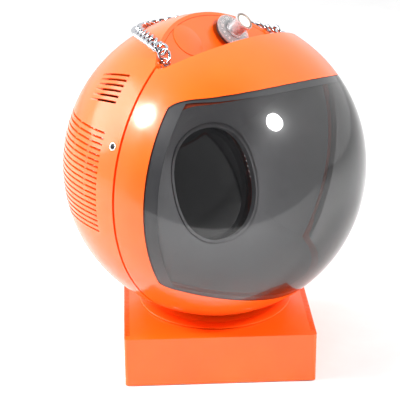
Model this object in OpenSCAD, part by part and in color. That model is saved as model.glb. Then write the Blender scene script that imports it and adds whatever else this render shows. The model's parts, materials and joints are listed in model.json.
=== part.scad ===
// Portable television: a ball-shaped set that swivels on a square base.
// Millimetres, +Z up, origin under the middle of the base, base front towards -Y.
// Pieces of the set are drawn about the ball's centre with the screen towards -Y,
// then set_place() lifts and turns them. Base pieces are drawn where they stand.

/* [Ball] */
// Diameter of the ball
ball_d = 280; // [270:1:340]
// Wall of the two ball shells
shell_wall = 3; // [2.4:0.1:4]
// Width of the groove where the shells meet
seam_gap = 2.4; // [1:0.1:4]
// How far the set is turned on its base at rest
rest_turn = 47; // [0:0.1:60]
// How far the top of the set leans to its right
set_lean = 7.4; // [0:0.1:10]
// Distance of the seam in front of the ball's middle
seam_out = 3; // [1:0.5:5]
// Depth that the ball sinks below the top of the base
ball_sink = 5.5; // [4.5:0.1:6.5]

/* [Visor] */
// Distance of the visor's side edges in front of the ball's middle
visor_side = 34; // [28:1:42]
// Drop from the top of the ball to the visor's upper edge
visor_top_drop = 40.9; // [38:0.1:46]
// Rise from the bottom of the ball to the visor's lower edge
visor_bottom_rise = 41; // [38:0.1:50]
// Radius of the bow of the upper edge
visor_top_bow = 334; // [300:1:700]
// Radius of the bow of the lower edge
visor_bottom_bow = 410; // [300:1:600]
// Radius of the upper corners
visor_top_corner = 30; // [20:1:36]
// Radius of the lower corners
visor_bottom_corner = 20; // [14:1:26]
// Thickness of the visor
visor_t = 2.5; // [1.8:0.1:3]
// Width of the ledge that carries the visor
visor_ledge = 5; // [4:0.1:6]

/* [Screen] */
// Half width of the screen opening
screen_a = 57; // [48:0.5:60]
// Half height of the screen opening
screen_b = 52; // [44:0.5:55]
// Squareness of the opening, where 2 is an ellipse
screen_power = 2.3; // [2:0.1:3]
// Backward lean of the screen
screen_tilt = 20; // [15:1:25]
// Distance of the screen's middle in front of the ball's centre
screen_out = 3.8; // [0:0.1:8]
// Distance of the screen's middle below the ball's centre
screen_drop = 17.4; // [12:0.1:22]
// Radius of the tube's neck
neck_r = 11; // [10:0.5:12]

/* [Control recess] */
// Drop from the top of the ball to the recess's front corner line
recess_drop = 38.7; // [36:0.1:41]
// Slope of the control panel
panel_slope = 46; // [43:1:49]
// Slope of the brow's upper edge
brow_slope = 36.4; // [32:0.1:40]
// Drop of the brow's slope below the corner line at the seam
brow_drop = 4.7; // [3:0.1:7]
// Thickness of the control panel
panel_t = 2.5; // [2:0.1:3]
// Depth of the trough behind the brow, down the slope
trough_depth = 26; // [22:1:28]

/* [Channel knob] */
// Knob's distance to the right of the middle
knob_x = 19.6; // [16:0.1:24]
// Knob's distance up the slope from the corner line
knob_up = 21.2; // [18:0.1:24]
// Radius of the clear dial
dial_r = 17.8; // [15:0.1:20]
// Radius of the clear hub
hub_r = 8.8; // [7.5:0.1:10]
// Height of the hub above the dial
hub_h = 15.5; // [12:0.1:18]
// Radius of the channel spindle
spindle_r = 4; // [3.5:0.1:4.5]
// Radius of the fine tuning shaft
fine_r = 2.5; // [2:0.1:3]

/* [Blank cap] */
// Cap's distance to the left of the middle
cap_x = 37.7; // [35:0.1:39]
// Cap's distance up the slope from the corner line
cap_up = 21.9; // [19:0.1:23]
// Radius of the cap
cap_r = 16.2; // [14:0.1:17]

/* [Vents] */
// Height of a long vent slot
vent_h = 1.7; // [1.2:0.1:2.2]
// Spacing of the long slots
vent_pitch = 4.9; // [4.5:0.1:5.5]
// Height of the top long slot above the ball's centre
vent_top = 44.2; // [40:0.1:48]
// Number of long slots
vent_count = 19; // [10:1:19]
// Distance of the slots' front ends behind the ball's middle
vent_front = 18.5; // [16:0.5:24]
// Height of a sound slot
sound_h = 2.2; // [1.6:0.1:2.6]
// Angle of the top sound slot above the side
sound_top = 41.1; // [39:0.1:43]
// Length of a sound slot
sound_len = 43; // [36:1:46]

/* [Chain] */
// Radius of the chain's wire
wire_r = 1.25; // [1.15:0.05:1.3]
// Outer length of a link
link_len = 14.5; // [14:0.1:15]
// Outer width of a link
link_w = 10.4; // [10.2:0.1:10.8]
// Least slack between two links
link_slack = 0.25; // [0.2:0.05:0.4]
// Radius of an end ring, to the middle of its wire
ring_r = 4.6; // [4.4:0.1:4.8]
// Distance of the chain pins from the middle
pin_x = 84.8; // [84.4:0.1:85.2]
// Radius of the chain pins
pin_r = 1.2; // [1:0.1:1.3]

/* [Base] */
// Width and depth of the base
base_w = 175; // [168:1:212]
// Height of the base's top above the ground
base_top = 48; // [46:0.5:56]
// Wall of the base housing
base_wall = 3; // [2.5:0.1:3.6]
// Radius of the base's upright corners
base_corner = 3; // [2:0.5:6]
// Height that the feet lift the housing
foot_gap = 1; // [0.6:0.1:2]
// Radius of a foot
foot_r = 9; // [7:0.5:10]
// Radius of the turntable's rim
turntable_r = 72.3; // [68:0.1:76]
// Radius of the circle on which the ball sits
seat_r = 53; // [50:0.5:55]
// Radius of the swivel spindle
swivel_r = 10; // [9:0.1:11]
// Turn of the set either side of facing forwards
swivel_half_turn = 90; // [60:5:100]
// Spacing of the grip notches
notch_pitch = 2.9; // [2.6:0.1:3.4]

/* [Clearances] */
// Radial clearance of a turning shaft
run_clear = 0.05; // [0.03:0.01:0.08]
// Gap between pieces that are seated in one another
seat_clear = 0.3; // [0.2:0.05:0.4]
// Gap under what turns above a face
face_clear = 0.4; // [0.3:0.05:0.6]

/* [Hidden] */
$fn = 64;

// Colours
orange = "orangered";
smoke = [0.25, 0.25, 0.27, 0.6];
clear = [0.8, 0.82, 0.85, 0.5];
steel = "lightsteelblue";
black = [0.12, 0.12, 0.12];

// Lengths longer than anything in the part, for cutting
far = 420;

// Ball and shells
ball_r = ball_d / 2;
ball_z = base_top + ball_r - ball_sink;
inner_r = ball_r - shell_wall;
front_y = -seam_out - seam_gap / 2;
rear_y = -seam_out + seam_gap / 2;
lip_front = -seam_out - 4;
lip_t = 2.2;
lip_root = 6;
lip_top = 74;
pole_r = seat_r - 8;
pole_boss_r = 9;
pole_boss_h = 17;
screw_az = 2.4;
screw_el = 14.9;
screw_r = 1.5;
cup_r = 3.4;
cup_t = 1;
ear_t = 3.2;
ear_half = 7;
ear_reach = 17;

// Visor
visor_seat_r = ball_r - visor_t;
ledge_r = visor_seat_r - 3.2;
side_r = sqrt(ball_r * ball_r - visor_side * visor_side);
top_mid = ball_r - visor_top_drop - visor_top_bow;
bottom_mid = visor_bottom_rise - ball_r + visor_bottom_bow;
top_corner = corner_centre(visor_top_corner, visor_top_bow, top_mid);
bottom_corner = corner_centre(visor_bottom_corner, visor_bottom_bow, bottom_mid);

// Screen mask, bezel and tube, along the tube's own axis
mask_r = ledge_r - 1.2;
mask_inset = visor_ledge + 1;
mask_rows = 5;
mask_lip = 3;
bezel_front = 0;
bezel_step = 2;
bezel_back = 5;
bezel_flange = 9;
glass_edge = 4.5;
glass_crown = 1.5;
glass_bow = 250;
glass_depth = 30;
band_t = 1.6;
band_front = 12;
band_back = 24;
band_clear = 0.2;
lug_out = 11.5;
lug_r = 5.5;
lug_t = 2;
neck_end = ball_r - 24;
neck_fillet = 76;
board_t = 1.6;

// Control recess
corner_z = ball_r - recess_drop;
panel_r = inner_r - 0.4;
knob_lift = 5.8;
dial_t = 2.5;
disc_t = 2.4;
disc_r = dial_r - 1;
hub_wall = 1.7;
hub_z = knob_lift + dial_t + seat_clear;
cap_t = 1.2;
cap_dome = 2;
cap_stem_r = 3;
slot_half = 3.05;
cheek_t = 1.4;

// Tuner under the panel
tuner_w = 42;
tuner_h = 34;
tuner_d = 42;
tuner_gap = 3;
bush_t = 1.4;

// Chassis and the boards on it
chassis_y = 56;
chassis_t = 2;
chassis_half = 60;
chassis_low = -100;
chassis_high = 50;
yoke_hole_r = 46;
yoke_hole_z = -40;
post_x = 52;
post_high = 42;
post_low = -90;
post_r = 5;
pcb_y = chassis_y + chassis_t + 6;
pcb_half = 44;
pcb_low = 2;
pcb_high = 68;

// Speaker behind the sound slots
speaker_az = 159.5;
speaker_el = 33.6;
speaker_r = 33;
speaker_face = inner_r - 9;
basket_depth = 20;
magnet_r = 19;
magnet_t = 14;

// Rear panel with its knobs and sockets
rear_el = 22;
rear_w = 67.4;
rear_h = 57.4;
rear_face = ball_r - 8.5;
rear_knob_r = 7;
rear_knob_h = 8;
pot_shaft_r = 3;
rear_knob_x = 21;
rear_knob_up = 13;
rear_plug_drop = 13;

// Chain: pins, end rings, links and the route of the loop over the ball
pin_y = -3.5;
pin_z = 101.8;
ring_y = -3.63;
ring_z = 103.85;
link_bend = link_w / 2 - wire_r;
link_straight = link_len / 2 - link_w / 2;
link_pitch = link_len - 4 * wire_r - link_slack;
chain_r = ball_r + seat_clear + link_bend * sin(45) + wire_r;
// The loop starts inside its end ring and climbs out of the recess
loop_start = [pin_x + 0.5, -3.9, 105.8];
loop_knee = [84.9, -1.1, 115.9];
// Azimuth and elevation of the loop's turns, from the right end round the back to the left
loop_angles = [[4, 54.2], [9, 55.2], [14.2, 55.9], [20.5, 56.5], [29.6, 56.9], [43, 57.5],
               [56, 58.5], [70, 58], [82, 56], [95, 54.5], [110, 54.8], [124, 56], [136.9, 56.7],
               [150.4, 56.9], [159.5, 56.5], [165.8, 55.9], [171, 55.2], [176, 54.2]];
loop_steps = 4;
loop_last = loop_angles[len(loop_angles) - 1];
loop_route = concat([loop_start, loop_knee],
    [for (i = [0:len(loop_angles) - 2], j = [0:loop_steps - 1])
        let (a = loop_angles[i] + (loop_angles[i + 1] - loop_angles[i]) * j / loop_steps)
        ball_point(a[0], a[1], chain_r)],
    [ball_point(loop_last[0], loop_last[1], chain_r)],
    [[-loop_knee[0], loop_knee[1], loop_knee[2]], [-loop_start[0], loop_start[1], loop_start[2]]]);
loop_len = route_length(loop_route);
// An odd number of links, so that both ends hang alike
loop_links = 2 * ceil((loop_len / link_pitch - 1) / 2) + 1;
loop_step = loop_len / loop_links;

// Base
base_bottom = foot_gap;
plate_t = 3;
plate_lift = 2;
plate_gap = 0.4;
plate_w = base_w - 2 * base_wall - 2 * plate_gap;
screw_inset = 14;
foot_inset = 30;
foot_seat = 1.5;
well_r = 58;
well_wall = 3;
web_z = 30;
web_t = 3;
bush_flange_r = 18;
bush_flange_t = 2;
bush_wall = 3;
bush_low = 20;
cup_low = web_z + web_t + bush_flange_t + face_clear;
cup_web = 3;
seat_z = ball_z - sqrt(ball_r * ball_r - seat_r * seat_r);
rim_t = 1.6;
rim_low = base_top + face_clear;
glide_in = 62;
glide_out = 66;
glide_groove = 1;
spindle_low = 11;
spindle_bore = 6.5;
washer_t = 1.5;
clip_t = 1;
clip_groove = 1.2;
bolt_r = 3;
bolt_head_r = 5.2;
bolt_head_h = 4;
stop_r = 40;
stop_peg_r = 2.5;
stop_slack = 1;
notch_len = 4;
notch_w = 1.2;
notch_depth = 2;
notch_inset = 1;
notch_end = 8;
ballast_t = 8;
ballast_out = 52;
ballast_in = 24;

// ---------- functions ----------

// Points of an arc about c
function arc(c, r, a0, a1, n) =
    [for (i = [0:n]) c + r * [cos(a0 + (a1 - a0) * i / n), sin(a0 + (a1 - a0) * i / n)]];
// Left half of an outline from its right half
function mirrored(points) = [for (i = [len(points) - 1:-1:0]) [-points[i][0], points[i][1]]];
// Centre of a corner that touches the side circle and a bow centred on the middle line
function corner_z_at(r, bow, mid) =
    (pow(side_r - r, 2) - pow(bow - r, 2) + mid * mid) / (2 * mid);
function corner_centre(r, bow, mid) =
    [sqrt(pow(side_r - r, 2) - pow(corner_z_at(r, bow, mid), 2)), corner_z_at(r, bow, mid)];
function touch_angle(c, mid) = atan2(c[1] - mid, c[0]);
// Right half of the visor's upper and lower edges, grown by g
function visor_upper(g) = concat(
    arc(top_corner, visor_top_corner + g, touch_angle(top_corner, 0),
        touch_angle(top_corner, top_mid), 8),
    arc([0, top_mid], visor_top_bow + g, touch_angle(top_corner, top_mid), 90, 6));
function visor_lower(g) = concat(
    arc([0, bottom_mid], visor_bottom_bow + g, -90, touch_angle(bottom_corner, bottom_mid), 8),
    arc(bottom_corner, visor_bottom_corner + g, touch_angle(bottom_corner, bottom_mid),
        touch_angle(bottom_corner, 0), 8));
// Point outside the ball where the corners' end tangents meet
function visor_far(g) =
    let (a = touch_angle(top_corner, 0), b = touch_angle(bottom_corner, 0))
    (side_r + g) / cos((a - b) / 2) * [cos((a + b) / 2), sin((a + b) / 2)];
function visor_outline(g) =
    let (low = visor_lower(g), side = [visor_far(g)], up = visor_upper(g))
    let (right = concat(low, side, up))
    concat(right, mirrored(right));
// Closed ring of the mask's outer edge in front view
function mask_ring_2d(g) =
    let (limit = sqrt(mask_r * mask_r - pow(visor_side - g, 2)))
    let (a = touch_angle(bottom_corner, 0), b = touch_angle(top_corner, 0))
    let (side = [for (i = [1:9]) let (t = a + (b - a) * i / 10) limit * [cos(t), sin(t)]])
    let (right = concat(visor_lower(g), side, visor_upper(g)))
    [for (p = concat(right, mirrored(right))) norm(p) > limit ? p * limit / norm(p) : p];
function on_front(p, r) = [p[0], -sqrt(r * r - p[0] * p[0] - p[1] * p[1]), p[1]];
// Squared oval of the screen
function oval_at(a, b, t) =
    1 / pow(pow(abs(cos(t)) / a, screen_power) + pow(abs(sin(t)) / b, screen_power),
            1 / screen_power);
function oval(grow, n) = [for (i = [0:n - 1]) let (t = 360 * i / n)
    oval_at(screen_a + grow, screen_b + grow, t) * [cos(t), sin(t)]];
// A point of the screen's plane, in the ball's axes
function screen_point(p, out) =
    [p[0],
     -screen_out + p[1] * sin(screen_tilt) - out * cos(screen_tilt),
     -screen_drop + p[1] * cos(screen_tilt) + out * sin(screen_tilt)];
function bend(a, m, b, t) = (1 - t) * (1 - t) * a + 2 * t * (1 - t) * m + t * t * b;
// Points on the ball and along a route
function ball_point(az, el, r) = r * [cos(az) * cos(el), sin(az) * cos(el), sin(el)];
function route_length(route, i = 0) =
    i >= len(route) - 1 ? 0 : norm(route[i + 1] - route[i]) + route_length(route, i + 1);
function route_at(route, s, i = 0) =
    let (step = norm(route[i + 1] - route[i]))
    s <= step || i == len(route) - 2
        ? [route[i] + (route[i + 1] - route[i]) * s / step, (route[i + 1] - route[i]) / step]
        : route_at(route, s - step, i + 1);

// ---------- helpers ----------

module set_place() {
    translate([0, 0, ball_z]) rotate([0, 0, rest_turn]) rotate([0, set_lean, 0]) children();
}

// Pieces of the set that stand upright at the ball's bottom
module upright() {
    rotate([0, -set_lean, 0]) children();
}

// The screen's frame: X right, Y up the screen, Z towards the viewer
module screen_place() {
    translate([0, -screen_out, -screen_drop]) rotate([90 - screen_tilt, 0, 0]) children();
}

// The panel's frame: X right, Y up the slope, Z out of the panel
module panel_place(x = 0, up = 0) {
    translate([0, -seam_out, corner_z]) rotate([panel_slope, 0, 0]) translate([x, up, 0]) children();
}

// A frame on the ball with Z outwards
module ball_place(az, el, r) {
    rotate([0, 0, az]) rotate([0, 90 - el, 0]) translate([0, 0, r]) children();
}

// The rear panel's frame: X across, Y up, Z out of the back
module rear_place() {
    ball_place(90, rear_el, rear_face) rotate([0, 0, 90]) children();
}

module at_both_sides() {
    children();
    mirror([1, 0, 0]) children();
}

module ball_wall(outer, inner) {
    difference() {
        sphere(outer, $fn = 160);
        sphere(inner, $fn = 160);
    }
}

// Everything above a plane through the line y, z that rises backwards at a slope
module above(y, z, slope) {
    translate([0, y, z]) rotate([slope, 0, 0]) translate([-far / 2, -far / 2, 0]) cube(far);
}

module block(x, y, z) {
    translate([x[0], y[0], z[0]]) cube([x[1] - x[0], y[1] - y[0], z[1] - z[0]]);
}

module ring(outer, inner, h) {
    difference() {
        cylinder(r = outer, h = h);
        translate([0, 0, -1]) cylinder(r = inner, h = h + 2);
    }
}

module rounded_box(w, h, r) {
    translate([r - w / 2, r - w / 2, 0]) cube([w - 2 * r, w - 2 * r, h]);
    block([-w / 2, w / 2], [r - w / 2, w / 2 - r], [0, h]);
    block([r - w / 2, w / 2 - r], [-w / 2, w / 2], [0, h]);
    for (x = [-1, 1], y = [-1, 1])
        translate([x * (w / 2 - r), y * (w / 2 - r), 0]) cylinder(r = r, h = h);
}

module at_corners(inset) {
    for (x = [-1, 1], y = [-1, 1])
        translate([x * (base_w / 2 - inset), y * (base_w / 2 - inset), 0]) children();
}

// The visor's outline run back from the front of the ball to its side edges
module visor_block(g) {
    translate([0, g - visor_side, 0]) rotate([90, 0, 0])
        linear_extrude(ball_r) polygon(visor_outline(g));
}

module oval_ring(outer, inner, low, high) {
    translate([0, 0, low]) linear_extrude(high - low) difference() {
        polygon(oval(outer, 72));
        polygon(oval(inner, 72));
    }
}

// Countersunk screw that points down -Z with its head's top at 0
module screw(head_r, head_h, r, length) {
    translate([0, 0, -head_h]) cylinder(r = head_r, h = head_h);
    translate([0, 0, -length]) cylinder(r = r, h = length);
}

// ---------- base ----------

module base_housing() {
    color(orange) difference() {
        union() {
            difference() {
                translate([0, 0, base_bottom]) rounded_box(base_w, base_top - base_bottom, base_corner);
                translate([0, 0, base_bottom - 1])
                    rounded_box(base_w - 2 * base_wall, base_top - base_bottom - base_wall + 1, 1);
            }
            // Wall and web of the well that holds the swivel
            translate([0, 0, web_z]) cylinder(r = well_r + well_wall, h = base_top - web_z);
            translate([0, 0, bush_low]) cylinder(r = swivel_r + bush_wall + 4, h = web_z - bush_low + 1);
            at_corners(screw_inset) translate([0, 0, base_bottom + plate_lift + plate_t])
                cylinder(r = 5, h = base_top - base_bottom - plate_lift - plate_t - 1);
        }
        translate([0, 0, web_z + web_t]) cylinder(r = well_r, h = far);
        cylinder(r = swivel_r + bush_wall, h = far);
        translate([0, 0, base_top - glide_groove]) ring(glide_out + 0.2, glide_in - 0.2, far);
        at_corners(screw_inset) cylinder(r = screw_r, h = base_top - 10);
        // Arc slot for the turntable's stop peg
        translate([0, 0, web_z - 1]) rotate([0, 0, -90 - swivel_half_turn - stop_slack])
            rotate_extrude(angle = 2 * (swivel_half_turn + stop_slack), $fn = 128)
                translate([stop_r - stop_peg_r - 0.5, 0])
                    square([2 * stop_peg_r + 1, web_t + 2]);
        for (a = [-1, 1]) rotate([0, 0, -90 + a * (swivel_half_turn + stop_slack)])
            translate([stop_r, 0, web_z - 1]) cylinder(r = stop_peg_r + 0.5, h = web_t + 2);
        grip_notches();
    }
}

// Rows of short notches along the left and right edges of the top
module grip_notches() {
    count = floor((base_w - 2 * notch_end) / notch_pitch);
    start = -count * notch_pitch / 2;
    for (i = [0:count], side = [-1, 1])
        translate([side * (base_w / 2 - notch_inset - notch_len / 2),
                   start + i * notch_pitch, base_top - notch_depth / 2 + 0.5])
            cube([notch_len, notch_w, notch_depth + 1], center = true);
}

module base_plate() {
    color(black) difference() {
        translate([0, 0, base_bottom + plate_lift]) rounded_box(plate_w, plate_t, 1);
        at_corners(screw_inset) cylinder(r = screw_r + 0.2, h = far);
        at_corners(foot_inset) cylinder(r = foot_r + 0.2, h = base_bottom + plate_lift + foot_seat);
    }
}

module base_feet() {
    color(black) at_corners(foot_inset) cylinder(r = foot_r, h = base_bottom + plate_lift + foot_seat);
}

module base_screws() {
    color(steel) at_corners(screw_inset)
        translate([0, 0, base_bottom + plate_lift - 1.4]) mirror([0, 0, 1]) screw(3, 1.4, screw_r - 0.05, 14);
}

// Iron ring that keeps the base steady
module ballast_weight() {
    color("dimgray") translate([0, 0, base_bottom + plate_lift + plate_t])
        ring(ballast_out, ballast_in, ballast_t);
}

module swivel_bush() {
    color("ivory") difference() {
        union() {
            translate([0, 0, bush_low]) cylinder(r = swivel_r + bush_wall - 0.02, h = web_z + web_t - bush_low);
            translate([0, 0, web_z + web_t]) cylinder(r = bush_flange_r, h = bush_flange_t);
        }
        cylinder(r = swivel_r + run_clear, h = far);
    }
}

module glide_ring() {
    color("ivory") translate([0, 0, base_top - glide_groove])
        ring(glide_out, glide_in, glide_groove + face_clear - 0.1);
}

// ---------- swivel ----------

module turntable() {
    color(orange) difference() {
        union() {
            // Low dish round the ball, from the rim up to the seat
            rotate_extrude($fn = 160) polygon([[0, rim_low], [turntable_r - 0.5, rim_low],
                [turntable_r, rim_low + 0.5], [turntable_r, rim_low + rim_t - 0.3],
                [turntable_r - 0.4, rim_low + rim_t], [seat_r + 8, rim_low + rim_t + 0.3],
                [seat_r + 0.8, seat_z - 0.2], [0, seat_z - 0.2]]);
            translate([0, 0, cup_low]) cylinder(r = well_r - 1, h = rim_low - cup_low + 0.1);
            rotate([0, 0, stop_angle()]) translate([stop_r, 0, web_z + 0.5])
                cylinder(r = stop_peg_r, h = cup_low - web_z);
        }
        translate([0, 0, ball_z]) sphere(ball_r + seat_clear, $fn = 160);
        cylinder(r = bolt_r + 0.1, h = far);
        translate([0, 0, cup_low - 1]) cylinder(r = swivel_r + 10.1, h = 3);
    }
}

// The peg points where the screen points
function stop_angle() = rest_turn - 90;

module swivel_spindle() {
    color(steel) difference() {
        union() {
            translate([0, 0, spindle_low]) cylinder(r = swivel_r, h = cup_low + 2 - spindle_low);
            translate([0, 0, cup_low]) cylinder(r = swivel_r + 10, h = 2);
        }
        translate([0, 0, -1]) cylinder(r = spindle_bore, h = cup_low + 2);
        cylinder(r = bolt_r + 0.1, h = far);
        translate([0, 0, clip_z()]) ring(swivel_r + 1, swivel_r - clip_groove, clip_t + 0.1);
    }
}

function clip_z() = bush_low - washer_t - clip_t - 0.4;

module spindle_washer() {
    color(steel) translate([0, 0, bush_low - washer_t - 0.3]) ring(16, swivel_r + 0.1, washer_t);
}

module spindle_clip() {
    color(steel) translate([0, 0, clip_z() + 0.05]) difference() {
        ring(13, swivel_r - clip_groove + 0.05, clip_t);
        block([0, 20], [-4, 4], [-1, 3]);
    }
}

// Bolt that holds the ball, the turntable and the spindle together
module set_bolt() {
    color(steel) {
        translate([0, 0, cup_low + 1 - bolt_head_h]) cylinder(r = bolt_head_r, h = bolt_head_h);
        translate([0, 0, cup_low]) cylinder(r = bolt_r, h = ball_z - ball_r + 12 - cup_low);
    }
}

// ---------- shells ----------

module at_shell_screws() {
    for (az = [screw_az, 180 - screw_az]) ball_place(az, screw_el, 0) children();
}

module front_shell() {
    color(orange) set_place() difference() {
        union() {
            intersection() {
                ball_wall(ball_r, inner_r);
                block([-far, far], [-far, front_y], [-far, far]);
            }
            // Ledge round the window that the visor rests on
            intersection() {
                ball_wall(inner_r + 0.5, ledge_r);
                visor_block(3);
                block([-far, far], [-far, front_y], [-far, far]);
            }
            ears();
        }
        difference() {
            visor_block(seat_clear);
            sphere(visor_seat_r - 0.1, $fn = 160);
        }
        visor_block(-visor_ledge);
        brow_cut();
        upright() pole_disc(pole_r + seat_clear);
        at_shell_screws() translate([0, 0, inner_r - lip_t - 20]) cylinder(r = screw_r, h = 30);
    }
}

// The brow's edge slopes down from the front and ends level at the corner line
module brow_cut() {
    intersection() {
        above(-seam_out, corner_z - brow_drop, -brow_slope);
        block([-far, far], [-far, far], [corner_z, far]);
    }
}

// Two ears of the front shell reach behind the rear shell to take the side screws
module ears() {
    intersection() {
        difference() {
            at_shell_screws() translate([0, 0, inner_r - lip_t - ear_t - 1])
                intersection() {
                    cylinder(r = ear_reach, h = ear_t + lip_t + 2);
                    block([-ear_half, ear_half], [-ear_reach, ear_reach], [-1, 20]);
                }
            // Room for the rear shell's lip
            difference() {
                block([-far, far], [lip_front - seat_clear, far], [-far, far]);
                sphere(inner_r - lip_t - 2 * seat_clear, $fn = 160);
            }
        }
        sphere(inner_r + 0.5, $fn = 160);
    }
}

// Rear half with its lip under the front shell, and the disc round the bottom pole
module rear_hull() {
    difference() {
        intersection() {
            ball_wall(ball_r, inner_r - seat_clear - lip_t);
            union() {
                block([-far, far], [lip_front, far], [-far, far]);
                upright() pole_disc(pole_r);
            }
        }
        // The lip stops at both sides below the control recess
        intersection() {
            sphere(inner_r, $fn = 160);
            union() {
                block([-far, far], [rear_y + lip_root, far], [-far, far]);
                block([-far, far], [lip_front - 1, far], [lip_top, far]);
            }
        }
        difference() {
            block([-far, far], [-far, rear_y], [-far, far]);
            sphere(inner_r - seat_clear, $fn = 160);
            upright() pole_disc(pole_r);
        }
    }
}

module pole_disc(r) {
    translate([0, 0, -far]) cylinder(r = r, h = far);
}

module rear_shell() {
    color(orange) set_place() difference() {
        union() {
            difference() {
                rear_hull();
                vent_cuts();
            }
            upright() translate([0, 0, -ball_r + 1]) cylinder(r = pole_boss_r, h = pole_boss_h);
            shell_posts();
            rear_frame();
        }
        above(-seam_out, corner_z, panel_slope);
        upright() translate([0, 0, -ball_r - 1]) cylinder(r = bolt_r + 0.05, h = 14);
        at_shell_screws() {
            translate([0, 0, inner_r - 10]) cylinder(r = screw_r + 0.2, h = 20);
            translate([0, 0, ball_r - cup_t - 1]) cylinder(r = cup_r + 0.1, h = 5);
        }
        post_holes();
        rear_opening();
    }
}

// Posts from the rear shell to the chassis, and the speaker's collar
module shell_posts() {
    intersection() {
        union() {
            for (x = [-post_x, post_x], z = [post_low, post_high])
                translate([x, chassis_y + chassis_t, z]) rotate([-90, 0, 0])
                    cylinder(r = post_r, h = far);
            ball_place(speaker_az, speaker_el, speaker_face + 2)
                ring(speaker_r + 1, speaker_r - 2.5, 12);
        }
        sphere(inner_r + 0.5, $fn = 160);
    }
}

module post_holes() {
    for (x = [-post_x, post_x], z = [post_low, post_high])
        translate([x, chassis_y, z]) rotate([-90, 0, 0]) cylinder(r = screw_r, h = 14);
}

// Frame round the rear panel, with a ledge that the panel rests on
module rear_frame() {
    intersection() {
        rear_place() block([-rear_w / 2 - 3, rear_w / 2 + 3], [-rear_h / 2 - 3, rear_h / 2 + 3],
                           [-panel_t - 3, 12]);
        sphere(ball_r - 0.5, $fn = 160);
    }
}

module rear_opening() {
    rear_place() {
        block([-rear_w / 2 - 0.3, rear_w / 2 + 0.3], [-rear_h / 2 - 0.3, rear_h / 2 + 0.3],
              [-panel_t, 20]);
        block([-rear_w / 2 + 4, rear_w / 2 - 4], [-rear_h / 2 + 4, rear_h / 2 - 4], [-20, 1]);
        for (x = [-1, 1], y = [-1, 1]) translate([x * (rear_w / 2 - 2), y * (rear_h / 2 - 2), -20])
            cylinder(r = 0.8, h = 20);
    }
}

// Long level slots round the back and short sound slots above them
module vent_cuts() {
    difference() {
        long_slots(vent_h);
        for (k = [0:6], side = [0, 1]) mirror([side, 0, 0]) rotate([0, 0, 16 + 11.5 * k])
            block([ball_r - 30, ball_r + 5], [-2, 2], [-80, 80]);
        rear_blank();
    }
    // Shallow run of each slot over the ribs
    difference() {
        long_slots(vent_h);
        sphere(ball_r - 1.4, $fn = 160);
        rear_blank();
    }
    at_both_sides() for (k = [0:5]) rotate([0, sound_top - 2.2 * k, 0])
        block([-ball_r - 5, -ball_r + 12], [vent_front, vent_front + sound_len],
              [-sound_h / 2, sound_h / 2]);
}

module long_slots(h) {
    for (i = [0:vent_count - 1]) translate([0, 0, vent_top - i * vent_pitch - h / 2])
        block([-far / 2, far / 2], [vent_front, far / 2], [0, h]);
}

// The part of the back that the slots leave plain
module rear_blank() {
    block([-42, 42], [ball_r / 2, far], [12, 90]);
}

module visor() {
    color(smoke) set_place() intersection() {
        ball_wall(ball_r, visor_seat_r);
        visor_block(0);
    }
}

// Two side screws join the shells, each in a bright cup
module shell_screws() {
    color("silver") set_place() at_shell_screws() translate([0, 0, ball_r - 0.5])
        screw(2.4, 1.4, screw_r - 0.05, 10);
}

module screw_cups() {
    color("silver") set_place() at_shell_screws() translate([0, 0, ball_r - cup_t - 1]) difference() {
        cylinder(r = cup_r, h = cup_t + 0.9);
        translate([0, 0, -1]) cylinder(r = screw_r + 0.1, h = 4);
        translate([0, 0, cup_t - 0.9]) cylinder(r = 2.6, h = 4);
    }
}

// ---------- screen ----------

// Funnel from behind the visor's edge down to the screen, as one closed skin
module screen_mask() {
    ring_2d = mask_ring_2d(-mask_inset);
    n = len(ring_2d);
    outer = [for (p = ring_2d) on_front(p, mask_r)];
    inner = [for (p = ring_2d) let (t = atan2(p[1] + screen_drop, p[0]))
        screen_point(oval_at(screen_a + mask_lip, screen_b + mask_lip, t) * [cos(t), sin(t)], 0.6)];
    back = [for (p = ring_2d) let (t = atan2(p[1] + screen_drop, p[0])) [1.4 * cos(t), 2, 1.4 * sin(t)]];
    front_rows = [for (j = [0:mask_rows]) for (i = [0:n - 1])
        bend(outer[i], mask_middle(outer[i], inner[i]), inner[i], j / mask_rows)];
    back_rows = [for (j = [0:mask_rows]) for (i = [0:n - 1]) front_rows[j * n + i] + back[i]];
    rows = mask_rows + 1;
    color("gray") set_place() polyhedron(
        points = concat(front_rows, back_rows),
        faces = concat(
            [for (j = [0:mask_rows - 1], i = [0:n - 1]) each
                quad(j * n + i, j * n + (i + 1) % n, (j + 1) * n + (i + 1) % n, (j + 1) * n + i)],
            [for (j = [0:mask_rows - 1], i = [0:n - 1]) each
                quad((rows + j + 1) * n + i, (rows + j + 1) * n + (i + 1) % n,
                     (rows + j) * n + (i + 1) % n, (rows + j) * n + i)],
            [for (i = [0:n - 1]) each quad(rows * n + i, rows * n + (i + 1) % n, (i + 1) % n, i)],
            [for (i = [0:n - 1]) each
                quad(mask_rows * n + i, mask_rows * n + (i + 1) % n,
                     (rows + mask_rows) * n + (i + 1) % n, (rows + mask_rows) * n + i)]));
}

function quad(a, b, c, d) = [[a, b, c], [a, c, d]];
// The funnel first runs back from the visor, then turns in to the screen
function mask_middle(o, i) = [0.72 * o[0] + 0.28 * i[0], 0.2 * o[1] + 0.8 * i[1],
                              0.72 * o[2] + 0.28 * i[2]];

module at_lugs() {
    for (q = [0:3]) let (t = 45 + 90 * q)
        rotate([0, 0, t]) translate([oval_at(screen_a + lug_out, screen_b + lug_out, t), 0, 0]) children();
}

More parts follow.
